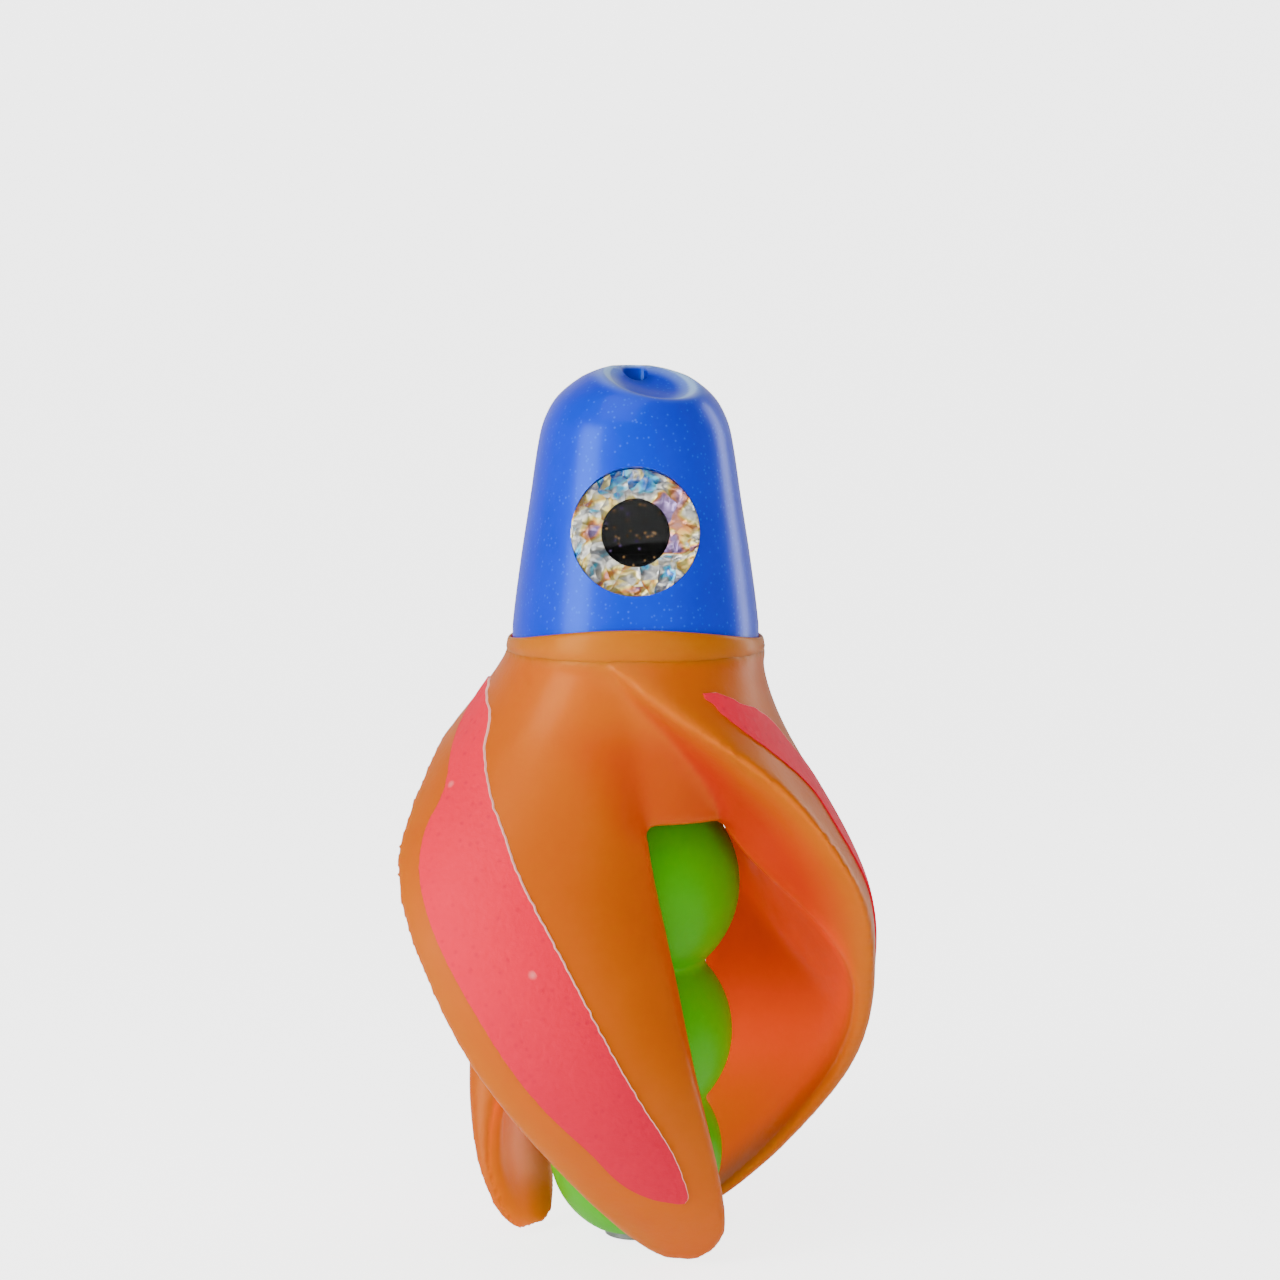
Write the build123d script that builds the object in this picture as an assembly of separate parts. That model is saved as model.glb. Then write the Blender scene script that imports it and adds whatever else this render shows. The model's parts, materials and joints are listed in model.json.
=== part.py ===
"""Spinning skirt lure: a dished head on a line tube, a free-turning three-petal skirt and a beaded core.

Millimetres, real size, +Z up. The origin is the tail end of the line tube, on the spin axis, level
with the three petal tips that the lure stands on. -Y is the side with the front eye.
"""
from build123d import *
import os
from math import cos, radians, sin, sqrt

# ---- line tube, which everything is strung on ----
TUBE_R = 1.5                 # outside radius
TUBE_BORE_R = 1.0            # line bore
RUNNING_CLEARANCE = 0.05     # radial, every piece that turns on the tube

# ---- head ----
HEAD_FOOT_Z = 50.0           # underside of the head
HEAD_FOOT_R = 9.85
SHOULDER_Z, SHOULDER_R = 64.6, 7.62      # end of the straight taper
CROWN = [(6.1, 67.9), (4.2, 69.35)]      # radius and height on the rounded shoulder
NOSE_Z, NOSE_FLAT_R = 70.1, 2.0          # top of the rounded nose
CAVITY_R = 5.2               # hollow that holds the ballast
CAVITY_TOP_Z = 64.0
TUBE_TOP_Z = 66.2            # the tube stops under the nose
NOSE_HOLE_R = 1.2            # lead-in for the line, above the tube

# ---- dished nose face, slanted towards the front ----
DISH_RIM_R = 3.7
DISH_DEPTH = 0.9
DISH_TILT_FRONT = 18.0       # degrees towards -Y
DISH_TILT_SIDE = 9.0         # degrees towards +X
DISH_CENTRE = (0.8, -1.4, 69.35)

# ---- plug that closes the head ----
PLUG_R = CAVITY_R
PLUG_H = 3.2
BOSS_R = 7.4                 # neck that drops into the skirt's collar
BOSS_FOOT_Z = 47.2
BALLAST_R = 4.6
BALLAST_H = 5.0

# ---- eyes ----
EYE_R = 5.0
EYE_Z = 57.4
EYE_SEAT_Y = 6.95            # from the axis to the flat seat, at the eye's centre
EYE_LEAN = 8.5               # degrees, follows the head's taper
FOIL_T = 0.3
PUPIL_R = 2.55
PUPIL_T = 0.15
DOME_H = 1.45                # dome's height over the foil
DOME_EDGE_T = 0.35

# ---- thrust washers ----
WASHER_T = 0.5
WASHER_R = 3.0
TAIL_WASHER_R = 2.9
TAIL_WASHER_T = 0.4

# ---- skirt hub and collar ----
HUB_T = 4.0
COLLAR_TOP_Z = 49.6
COLLAR_FOOT_Z = 47.4         # where the collar starts to draw in
NECK_TOP_Z = 45.5            # where it has drawn in to the neck
COLLAR_R = 10.25
COLLAR_BORE_R = 8.3
COLLAR_LIP_FILLET = 0.6
NECK_R = 9.5                 # outside of the web between the petals
CUP_R = 7.9                  # inside of the cup over the core
CUP_FOOT_Z = 34.9            # top edge of the three openings
BUSH_R = 3.2
BUSH_RIM_R = 4.3
BUSH_RIM_T = 0.7

# ---- petals: one row per level, from the collar to the tips ----
# height, outer edge's turn and radius, inner edge's turn and radius, how far the back is filled
# towards the core, and how far the thick inner edge alone is
# Turns are in degrees from the front (-Y) towards +X.
PETAL_ROWS = [
    (47.0, 0.0, 9.0, 100.0, 9.0, 1.0, 1.0),
    (43.8, 13.0, 12.6, 109.0, 9.2, 1.0, 1.0),
    (39.6, 36.0, 16.2, 114.5, 10.1, 0.9, 1.0),
    (35.5, 46.0, 18.8, 118.0, 10.4, 0.65, 0.9),
    (31.4, 54.0, 20.4, 122.0, 10.9, 0.3, 0.85),
    (27.2, 61.0, 20.5, 127.0, 11.5, 0.1, 0.8),
    (23.0, 68.0, 20.1, 132.5, 12.2, 0.0, 0.75),
    (14.7, 82.5, 17.7, 140.5, 13.6, 0.0, 0.65),
    (6.4, 100.5, 12.3, 151.0, 13.0, 0.0, 0.35),
]
TIP_ROW = (0.0, 128.5, 7.5, 161.5, 10.6, 0.0, 0.0)
# height above the tip, and the share of the petal's width that is left there
TIP_ROUND = [(3.4, 1.0), (1.6, 0.85), (0.5, 0.6), (0.0, 0.3)]
PETALS = 3
PETAL_T = 1.6
FILL_R = 8.55                # inside of the filled upper part of a petal
EDGE_ROUND = 0.035           # roundness of both edges, as a share of the petal's width
INNER_TAPER = 2.5            # how fast the thick inner edge thins out across the width
PETAL_SWELL = 1.2            # how early the radius grows from the inner to the outer edge
SHARES = (0.0, 0.2, 0.4, 0.6, 0.8, 1.0)  # places across a petal's width that shape its face

# ---- tape strip on each petal: height, then its two sides as shares of the petal's width ----
TAPE_ROWS = [
    (46.0, 0.70, 0.74),
    (43.0, 0.61, 0.82),
    (37.0, 0.57, 0.85),
    (31.0, 0.48, 0.87),
    (23.0, 0.41, 0.85),
    (15.5, 0.32, 0.78),
    (10.0, 0.24, 0.64),
    (7.2, 0.27, 0.32),
]
TAPE_PROUD = 0.15
TAPE_SUNK = 0.12             # pressed this far into the soft plastic
TAPE_REACH = 3.0             # half depth of the block that trims a strip to its outline

# ---- beaded core ----
BEADS = [(28.9, 8.36), (16.8, 7.79), (6.85, 7.0)]     # centre height and radius, top to bottom
BEAD_NECK_FILLET = 1.3
CORE_FOOT_Z = 0.5
STEM_R = 3.6
SLEEVE_R = 2.4
FERRULE_R = 2.5
FERRULE_H = 1.5
TAIL_RECESS_R = 3.4
CUT = 60.0                   # longer than the core, for the shapes that trim it

# ---- worked out ----
HUB_TOP_Z = BOSS_FOOT_Z - WASHER_T - BUSH_RIM_T
HUB_FOOT_Z = HUB_TOP_Z - HUB_T
BUSH_TOP_Z = BOSS_FOOT_Z - WASHER_T
CORE_TOP_Z = HUB_FOOT_Z - WASHER_T
CORE_SEAT_Z = FERRULE_H + TAIL_WASHER_T
PLUG_TOP_Z = HEAD_FOOT_Z + PLUG_H


def tube(outer, inner, low, high):
    """A plain ring or tube on the spin axis between two heights."""
    return Pos(0, 0, low) * extrude(Circle(outer) - Circle(inner), high - low)


def polar(radius, turn, height):
    """A point from its radius and its turn from the front."""
    return Vector(radius * sin(radians(turn)), -radius * cos(radians(turn)), height)


def make_dish():
    """The shallow spherical cut in the nose, leaned to the front and to the side."""
    ball_r = (DISH_RIM_R**2 + DISH_DEPTH**2) / (2 * DISH_DEPTH)
    lean = Rot(DISH_TILT_FRONT, DISH_TILT_SIDE, 0)
    return Pos(*DISH_CENTRE) * lean * Pos(0, 0, ball_r - DISH_DEPTH) * Sphere(ball_r)


def make_eye_frame(side):
    """The place of an eye's seat: side is -1 for the front and +1 for the back."""
    return Pos(0, side * EYE_SEAT_Y, EYE_Z) * Rot(-side * (90 - EYE_LEAN), 0, 0)


def make_head_shell():
    """Tapered body with a rounded shoulder, two flat eye seats and the dished nose."""
    foot = Line((0, HEAD_FOOT_Z), (HEAD_FOOT_R, HEAD_FOOT_Z))
    flank = Line(foot @ 1, (SHOULDER_R, SHOULDER_Z))
    crown = Spline(flank @ 1, *CROWN, (NOSE_FLAT_R, NOSE_Z), tangents=[flank % 1, (-1, 0.1)])
    top = Line(crown @ 1, (0, NOSE_Z))
    axis = Line(top @ 1, (0, HEAD_FOOT_Z))
    shell = revolve(Plane.XZ * make_face([foot, flank, crown, top, axis]), Axis.Z)
    shell -= Pos(0, 0, HEAD_FOOT_Z) * extrude(Circle(CAVITY_R), CAVITY_TOP_Z - HEAD_FOOT_Z)
    shell -= Pos(0, 0, CAVITY_TOP_Z) * extrude(Circle(TUBE_R), TUBE_TOP_Z - CAVITY_TOP_Z)
    shell -= Pos(0, 0, TUBE_TOP_Z) * extrude(Circle(NOSE_HOLE_R), NOSE_Z - TUBE_TOP_Z)
    shell -= make_dish()
    for side in (-1, 1):
        shell -= make_eye_frame(side) * extrude(Circle(EYE_R), EYE_R)
    return shell


def make_head_base():
    """Plug that closes the head, with the neck the skirt's collar turns around."""
    plug = tube(PLUG_R, TUBE_R, HEAD_FOOT_Z, PLUG_TOP_Z)
    return plug + tube(BOSS_R, TUBE_R, BOSS_FOOT_Z, HEAD_FOOT_Z)


def make_eye(side):
    """Foil disc, pupil disc and clear dome of one eye."""
    frame = make_eye_frame(side)
    foil = extrude(Circle(EYE_R), FOIL_T)
    pupil = Pos(0, 0, FOIL_T) * extrude(Circle(PUPIL_R), PUPIL_T)
    rise = DOME_H - DOME_EDGE_T
    ball_r = (EYE_R**2 + rise**2) / (2 * rise)
    edge_z = FOIL_T + DOME_EDGE_T
    cap = Pos(0, 0, edge_z + rise - ball_r) * Sphere(ball_r)
    blank = Pos(0, 0, FOIL_T) * extrude(Circle(EYE_R), DOME_H + 1)
    dome = (blank & cap) - pupil
    return frame * foil, frame * pupil, frame * dome


def petal_point(row, share, offset=0.0):
    """A point on a petal's outer face: share is 0 at the inner edge and 1 at the outer edge."""
    height, outer_turn, outer_r, inner_turn, inner_r = row[:5]
    turn = inner_turn + (outer_turn - inner_turn) * share
    swell = 1 - (1 - min(share, 1.0)) ** PETAL_SWELL
    return polar(inner_r + (outer_r - inner_r) * swell + offset, turn, height)


def even_spline(points):
    """A spline through the points with even spacing, so that lofted rows share one rhythm."""
    last = len(points) - 1
    return Edge.make_spline(points, parameters=[i / last for i in range(last + 1)])


def petal_section(row):
    """Closed outline of a petal at one height, with both edges rounded."""
    fill, inner_fill = row[5:]
    face = [petal_point(row, share) for share in SHARES]
    back = []
    for share, front in zip(SHARES, face):
        radius = sqrt(front.X**2 + front.Y**2)
        filled = max(fill, inner_fill * (1 - share) ** INNER_TAPER) if share < 1.0 else 0.0
        back.append(petal_point(row, share, (FILL_R - radius) * filled - PETAL_T * (1 - filled)))
    outer_end = [petal_point(row, 1 + EDGE_ROUND, -depth * PETAL_T) for depth in (0.1, 0.9)]
    inner_end = [petal_point(row, -EDGE_ROUND, -depth * PETAL_T) for depth in (0.9, 0.1)]
    return make_face([
        even_spline(face), Bezier(face[-1], *outer_end, back[-1]),
        even_spline(back[::-1]), Bezier(back[0], *inner_end, face[0])])


def between(low, high, height):
    """The row at a height between two rows."""
    part = (height - low[0]) / (high[0] - low[0])
    return tuple(a + (b - a) * part for a, b in zip(low, high))


def petal_row_at(height):
    """The petal's row at any height."""
    rows = PETAL_ROWS + [TIP_ROW]
    for high, low in zip(rows, rows[1:]):
        if low[0] <= height <= high[0]:
            return between(low, high, height)
    raise ValueError("height off the petal")


def narrowed(row, share):
    """A row drawn in around its own middle, for the rounded tip."""
    height, outer_turn, outer_r, inner_turn, inner_r = row[:5]
    mid_turn, mid_r = (outer_turn + inner_turn) / 2, (outer_r + inner_r) / 2
    return (height, mid_turn + (outer_turn - mid_turn) * share, mid_r + (outer_r - mid_r) * share,
            mid_turn + (inner_turn - mid_turn) * share, mid_r + (inner_r - mid_r) * share,
            row[5] * share, row[6] * share)


def make_petal():
    """One petal, from inside the hub's wall down to its rounded tip."""
    rows = PETAL_ROWS + [narrowed(petal_row_at(height), share) for height, share in TIP_ROUND]
    return loft([petal_section(row) for row in rows])


def make_skirt():
    """Collar, hub and three petals in one moulding."""
    hub = revolve(Plane.XZ * fillet_collar(), Axis.Z)
    petal = make_petal()
    skirt = hub
    for index in range(PETALS):
        skirt += Rot(0, 0, 360 / PETALS * index) * petal
    return skirt - Pos(0, 0, HUB_TOP_Z) * extrude(Circle(COLLAR_BORE_R), HUB_T)


def fillet_collar():
    """Half section of the hub: cup, web, collar and its rounded lip."""
    outline = Polyline(
        (NECK_R, CUP_FOOT_Z), (NECK_R, NECK_TOP_Z), (COLLAR_R, COLLAR_FOOT_Z),
        (COLLAR_R, COLLAR_TOP_Z),
        (COLLAR_BORE_R, COLLAR_TOP_Z), (COLLAR_BORE_R, HUB_TOP_Z), (BUSH_R, HUB_TOP_Z),
        (BUSH_R, HUB_FOOT_Z), (CUP_R, HUB_FOOT_Z), (CUP_R, CUP_FOOT_Z), close=True)
    section = make_face(outline)
    lip = [v for v in section.vertices() if v.Y > (COLLAR_FOOT_Z + COLLAR_TOP_Z) / 2]
    return fillet(lip, COLLAR_LIP_FILLET)


def make_tape():
    """A thin strip stuck on the outer face of the first petal."""
    layers = []
    for row in PETAL_ROWS:
        face = [petal_point(row, share, TAPE_PROUD) for share in SHARES]
        back = [petal_point(row, share, -TAPE_SUNK) for share in reversed(SHARES)]
        layers.append(make_face([even_spline(face), Line(face[-1], back[0]),
                                 even_spline(back), Line(back[-1], face[0])]))
    skin = loft(layers)
    return skin & make_tape_stencil()


def make_tape_stencil():
    """A thick radial block whose sides are the tape's cut edges."""
    layers = []
    for height, near, far in TAPE_ROWS:
        row = petal_row_at(height)
        corners = [petal_point(row, near, -TAPE_REACH), petal_point(row, near, TAPE_REACH),
                   petal_point(row, far, TAPE_REACH), petal_point(row, far, -TAPE_REACH)]
        layers.append(make_face(Polyline(*corners, close=True)))
    return loft(layers)


def make_core():
    """Three fused beads with soft necks, a stem up to the hub and a recess for the tail ferrule."""
    half = Sketch() + [Pos(0, height) * Circle(radius) for height, radius in BEADS]
    half &= Pos(CUT / 2, 0) * Rectangle(CUT, 2 * CUT)
    necks = [v for v in half.vertices() if v.X > TUBE_R]
    half = fillet(necks, BEAD_NECK_FILLET)
    body = revolve(Plane.XZ * half, Axis.Z)
    body += tube(STEM_R, SLEEVE_R, BEADS[0][0], CORE_TOP_Z)
    body -= Pos(0, 0, -CUT) * extrude(Circle(CUT), CUT + CORE_FOOT_Z)
    body -= extrude(Circle(TAIL_RECESS_R), CORE_SEAT_Z)
    return body - extrude(Circle(SLEEVE_R), CUT)


def make_bush():
    """Flanged bush pressed into the hub, which carries the skirt on the tube."""
    running = TUBE_R + RUNNING_CLEARANCE
    barrel = tube(BUSH_R, running, HUB_FOOT_Z, BUSH_TOP_Z)
    return barrel + tube(BUSH_RIM_R, running, HUB_TOP_Z, BUSH_TOP_Z)


def build():
    """Every node of the lure by name."""
    nodes = {
        "head_shell": make_head_shell(),
        "head_base": make_head_base(),
        "ballast_ring": tube(BALLAST_R, TUBE_R, PLUG_TOP_Z, PLUG_TOP_Z + BALLAST_H),
        "line_tube": tube(TUBE_R, TUBE_BORE_R, 0, TUBE_TOP_Z),
        "upper_washer": tube(WASHER_R, TUBE_R, BUSH_TOP_Z, BOSS_FOOT_Z),
        "lower_washer": tube(WASHER_R, TUBE_R, CORE_TOP_Z, HUB_FOOT_Z),
        "tail_washer": tube(TAIL_WASHER_R, TUBE_R, FERRULE_H, CORE_SEAT_Z),
        "tail_ferrule": tube(FERRULE_R, TUBE_R, 0, FERRULE_H),
        "rotor_bush": make_bush(),
        "bead_core": make_core(),
        "core_sleeve": tube(SLEEVE_R, TUBE_R + RUNNING_CLEARANCE, CORE_SEAT_Z, CORE_TOP_Z),
    }
    for side, name in ((-1, "front"), (1, "back")):
        pieces = make_eye(side)
        for piece, kind in zip(pieces, ("foil", "pupil", "dome")):
            nodes[f"eye_{kind}_{name}"] = piece
    tape = make_tape()
    for index in range(PETALS):
        nodes[f"tape_strip_{index + 1}"] = Rot(0, 0, 360 / PETALS * index) * tape
    nodes["spiral_skirt"] = make_skirt()
    return nodes


os.makedirs("parts", exist_ok=True)
for name, shape in build().items():
    export_step(shape, f"parts/{name}.step")
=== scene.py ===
"""Looks of the spinning skirt lure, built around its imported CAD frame.

Design values are in millimetres in the frame's own axes: the origin is the tail end of the line
tube, +Z runs up the spin axis and -Y is the side of the front eye. Turns are in degrees from the
front (-Y) towards +X.
"""

import json
import logging
import math
from collections.abc import Callable
from dataclasses import dataclass, field
from enum import Enum

import bmesh
import bpy
from mathutils import Matrix, Vector, noise
from mathutils.kdtree import KDTree

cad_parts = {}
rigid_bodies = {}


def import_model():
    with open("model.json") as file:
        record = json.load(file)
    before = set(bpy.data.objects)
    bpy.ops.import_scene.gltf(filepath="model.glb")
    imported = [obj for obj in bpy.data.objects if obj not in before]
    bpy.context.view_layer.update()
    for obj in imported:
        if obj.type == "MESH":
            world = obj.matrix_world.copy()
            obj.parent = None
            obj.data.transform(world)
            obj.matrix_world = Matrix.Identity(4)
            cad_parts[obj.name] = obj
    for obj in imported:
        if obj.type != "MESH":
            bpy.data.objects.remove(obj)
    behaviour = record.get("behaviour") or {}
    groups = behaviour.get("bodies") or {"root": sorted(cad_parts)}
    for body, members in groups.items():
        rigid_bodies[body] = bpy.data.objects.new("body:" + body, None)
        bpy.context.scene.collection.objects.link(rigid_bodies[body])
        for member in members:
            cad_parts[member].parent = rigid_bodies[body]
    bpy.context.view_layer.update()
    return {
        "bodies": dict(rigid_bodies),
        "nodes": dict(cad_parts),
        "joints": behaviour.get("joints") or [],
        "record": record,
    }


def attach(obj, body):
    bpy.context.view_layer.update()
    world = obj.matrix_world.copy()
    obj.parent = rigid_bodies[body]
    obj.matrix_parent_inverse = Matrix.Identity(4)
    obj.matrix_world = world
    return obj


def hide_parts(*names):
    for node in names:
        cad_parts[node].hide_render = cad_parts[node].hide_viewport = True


LOG = logging.getLogger("lure")
MM = 0.001
PETALS = 3
PETAL_TURN = 360 / PETALS
SHARP = math.radians(40)
BORE_SHARP = math.radians(60)
SAME_PLACE = 1e-6


# ---------------------------------------------------------------- small helpers

def srgb(red: int, green: int, blue: int) -> tuple[float, float, float, float]:
    """Turns an 8-bit screen colour into a linear one.

    Args:
        red, green, blue: the colour's channels, 0 to 255.

    Returns:
        The linear colour with full alpha.
    """
    linear = [(c / 255 / 12.92 if c < 11 else ((c / 255 + 0.055) / 1.055) ** 2.4)
              for c in (red, green, blue)]
    return (*linear, 1.0)


def smoothstep(low: float, high: float, value: float) -> float:
    """Eases from 0 at low to 1 at high.

    Args:
        low, high: the ends of the ease.
        value: where it is read.

    Returns:
        A share from 0 to 1.
    """
    part = min(max((value - low) / (high - low), 0.0), 1.0)
    return part * part * (3 - 2 * part)


def mix(first: float, second: float, share: float) -> float:
    """Returns first at share 0 and second at share 1."""
    return first + (second - first) * share


def smooth_min(first: float, second: float, blend: float) -> float:
    """Returns the smaller of two values, rounded where they are within blend of each other."""
    part = max(blend - abs(first - second), 0.0) / blend
    return min(first, second) - part * part * blend / 4


def polar(radius: float, turn: float, height: float) -> Vector:
    """Returns a point in millimetres from its radius, its turn from the front and its height."""
    angle = math.radians(turn)
    return Vector((radius * math.sin(angle), -radius * math.cos(angle), height))


def curve_at(rows: list[tuple[float, ...]], height: float) -> tuple[float, ...]:
    """Reads a smooth curve through rows whose first value is a falling height.

    Args:
        rows: (height, value, value, ...) from the top down.
        height: where the curve is read.

    Returns:
        The row's other values at that height.
    """
    index = max(i for i, row in enumerate(rows[:-1]) if i == 0 or row[0] >= height)
    low, high = rows[index + 1], rows[index]
    span = high[0] - low[0]
    part = min(max((height - low[0]) / span, 0.0), 1.0)
    before = rows[min(index + 2, len(rows) - 1)]
    after = rows[max(index - 1, 0)]
    values = []
    for k in range(1, len(low)):
        start = (high[k] - before[k]) / max(high[0] - before[0], 1e-6) * span
        end = (after[k] - low[k]) / max(after[0] - low[0], 1e-6) * span
        values.append((2 * part**3 - 3 * part**2 + 1) * low[k]
                      + (part**3 - 2 * part**2 + part) * start
                      + (3 * part**2 - 2 * part**3) * high[k] + (part**3 - part**2) * end)
    return tuple(values)


def loft(mesh: bmesh.types.BMesh, rings: list[list[Vector]]) -> None:
    """Bridges closed rings of points, given in millimetres, and caps both ends.

    Args:
        mesh: where the faces are added.
        rings: loops of points, one after another, all with the same count.
    """
    loops = []
    for ring in rings:
        verts = [mesh.verts.new(point * MM) for point in ring]
        loops.append([mesh.edges.new((a, b)) for a, b in zip(verts, verts[1:] + verts[:1])])
    for first, second in zip(loops, loops[1:]):
        bmesh.ops.bridge_loops(mesh, edges=first + second)
    for end in (loops[0], loops[-1]):
        bmesh.ops.contextual_create(mesh, geom=end)
    bmesh.ops.recalc_face_normals(mesh, faces=mesh.faces)


def spun(mesh: bmesh.types.BMesh, outline: list[tuple[float, float]], steps: int) -> None:
    """Spins an outline of (radius, height) points in millimetres once round the axis.

    Args:
        mesh: where the faces are added.
        outline: the points, from one end to the other.
        steps: how many steps make the full turn.
    """
    verts = [mesh.verts.new((radius * MM, 0, height * MM)) for radius, height in outline]
    edges = [mesh.edges.new(pair) for pair in zip(verts, verts[1:])]
    bmesh.ops.spin(mesh, geom=verts + edges, cent=(0, 0, 0), axis=(0, 0, 1), dvec=(0, 0, 0),
                   angle=math.tau, steps=steps, use_merge=True)
    bmesh.ops.remove_doubles(mesh, verts=mesh.verts, dist=SAME_PLACE)
    bmesh.ops.recalc_face_normals(mesh, faces=mesh.faces)


def rounded(outline: list[tuple[float, float]], per_span: int) -> list[tuple[float, float]]:
    """Runs a smooth curve through an outline's points.

    Args:
        outline: (radius, height) points with falling heights.
        per_span: how many steps lie between two points.

    Returns:
        The denser outline, from the top down.
    """
    rows = [(height, radius) for radius, height in outline]
    points = []
    for high, low in zip(rows, rows[1:]):
        for step in range(per_span):
            height = mix(high[0], low[0], step / per_span)
            points.append((curve_at(rows, height)[0], height))
    return points + [outline[-1]]


def make_object(name: str, mesh: bmesh.types.BMesh,
                material: bpy.types.Material) -> bpy.types.Object:
    """Makes a smooth-shaded object at the origin from a bmesh, and frees the bmesh.

    Args:
        name: the piece's name.
        mesh: its shape in metres.
        material: its one material.

    Returns:
        The linked object.
    """
    data = bpy.data.meshes.new(name)
    mesh.to_mesh(data)
    mesh.free()
    data.materials.append(material)
    data.shade_smooth()
    piece = bpy.data.objects.new(name, data)
    bpy.context.scene.collection.objects.link(piece)
    return piece


def settled(piece: bpy.types.Object) -> None:
    """Replaces a piece's mesh by what its modifiers make of it, and removes the modifiers.

    Args:
        piece: a mesh object with modifiers.
    """
    graph = bpy.context.evaluated_depsgraph_get()
    made = bpy.data.meshes.new_from_object(piece.evaluated_get(graph))
    made.name = piece.name
    piece.modifiers.clear()
    piece.data = made
    made.shade_smooth()


def store(piece: bpy.types.Object, name: str, values: list[float]) -> None:
    """Stores one number per vertex for the materials to read."""
    layer = piece.data.attributes.new(name, "FLOAT", "POINT")
    layer.data.foreach_set("value", values)


def paint(piece: bpy.types.Object, name: str, value: Callable[[Vector, Vector], float]) -> None:
    """Works out one number per vertex from its place and normal, and stores it.

    Args:
        piece: a mesh object.
        name: the attribute's name.
        value: a function of (vertex position in millimetres, vertex normal).
    """
    store(piece, name, [value(v.co / MM, v.normal) for v in piece.data.vertices])


def petal_matrix(index: int) -> Matrix:
    """Returns the turn about the axis that carries the first petal onto another."""
    return Matrix.Rotation(math.radians(PETAL_TURN * index), 3, "Z")


# ---------------------------------------------------------------- shader building blocks

class Tree:
    """Adds and joins shader nodes in a few words."""

    def __init__(self, tree: bpy.types.NodeTree) -> None:
        """Holds the node tree that is added to."""
        self.tree = tree

    def give(self, node: bpy.types.Node, values: dict) -> bpy.types.Node:
        """Sets or joins a node's inputs.

        Args:
            node: the node.
            values: input name or number to a constant, or to an output socket that is joined to it.

        Returns:
            The same node.
        """
        for key, given in values.items():
            if isinstance(given, bpy.types.NodeSocket):
                self.tree.links.new(given, node.inputs[key])
            else:
                node.inputs[key].default_value = given
        return node

    def add(self, kind: str, values: dict | None = None, **settings: object) -> bpy.types.Node:
        """Adds a node.

        Args:
            kind: its type, without the leading "ShaderNode".
            values: its inputs, as give takes them.
            settings: the node's own properties.

        Returns:
            The node.
        """
        node = self.tree.nodes.new("ShaderNode" + kind)
        for key, setting in settings.items():
            setattr(node, key, setting)
        return self.give(node, values or {})

    def shared(self, group: bpy.types.NodeTree, values: dict) -> bpy.types.Node:
        """Places a shared effect with its own values and returns its node."""
        return self.add("Group", values, node_tree=group)

    def attribute(self, name: str) -> bpy.types.NodeSocket:
        """Reads a number that the mesh carries per vertex."""
        return self.add("Attribute", attribute_name=name).outputs["Fac"]

    def ramp(self, factor: bpy.types.NodeSocket,
             stops: list[tuple[float, tuple]]) -> bpy.types.NodeSocket:
        """Adds a colour ramp.

        Args:
            factor: the socket that it reads.
            stops: (place, colour) pairs with rising places.

        Returns:
            Its colour.
        """
        node = self.add("ValToRGB", {"Fac": factor})
        marks = node.color_ramp.elements
        while len(marks) < len(stops):
            marks.new(0.5)
        for mark, (place, colour) in zip(marks, stops):
            mark.position, mark.color = place, colour
        return node.outputs["Color"]

    def blend(self, factor: object, first: object, second: object) -> bpy.types.NodeSocket:
        """Mixes two colours, each a constant or a socket, and returns the colour."""
        return self.add("Mix", {0: factor, 6: first, 7: second}, data_type="RGBA").outputs[2]

    def maths(self, operation: str, first: object, second: object = 0.0) -> bpy.types.NodeSocket:
        """Adds a clamped maths node over two numbers or sockets and returns its value."""
        return self.add("Math", {0: first, 1: second}, operation=operation,
                        use_clamp=True).outputs[0]


def effect(name: str, inputs: dict[str, tuple[str, object]], outputs: dict[str, str]) -> tuple:
    """Starts a shared effect as a node group.

    Args:
        name: the group's name.
        inputs: socket name to (type, default).
        outputs: socket name to type.

    Returns:
        (the group, a Tree in it, its input sockets, its output sockets).
    """
    group = bpy.data.node_groups.new(name, "ShaderNodeTree")
    for key, (kind, default) in inputs.items():
        socket = group.interface.new_socket(key, in_out="INPUT", socket_type="NodeSocket" + kind)
        if default is not None:
            socket.default_value = default
    for key, kind in outputs.items():
        group.interface.new_socket(key, in_out="OUTPUT", socket_type="NodeSocket" + kind)
    source = group.nodes.new("NodeGroupInput")
    sink = group.nodes.new("NodeGroupOutput")
    return group, Tree(group), source.outputs, sink.inputs


def make_flecks() -> bpy.types.NodeTree:
    """Shared effect: fine flecks, specks and pits, as a mask.

    Returns:
        The node group.
    """
    group, tree, given, made = effect(
        "flecks", {"Vector": ("Vector", None), "Scale": ("Float", 2000.0),
                   "Share": ("Float", 0.2)}, {"Mask": "Float"})
    cells = tree.add("TexVoronoi", {"Vector": given["Vector"], "Scale": given["Scale"]})
    chosen = tree.maths("LESS_THAN", cells.outputs["Color"], given["Share"])
    near = tree.maths("SUBTRACT", 1.0, tree.maths("MULTIPLY", cells.outputs["Distance"], 2.6))
    group.links.new(tree.maths("MULTIPLY", chosen, near), made["Mask"])
    return group


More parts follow.
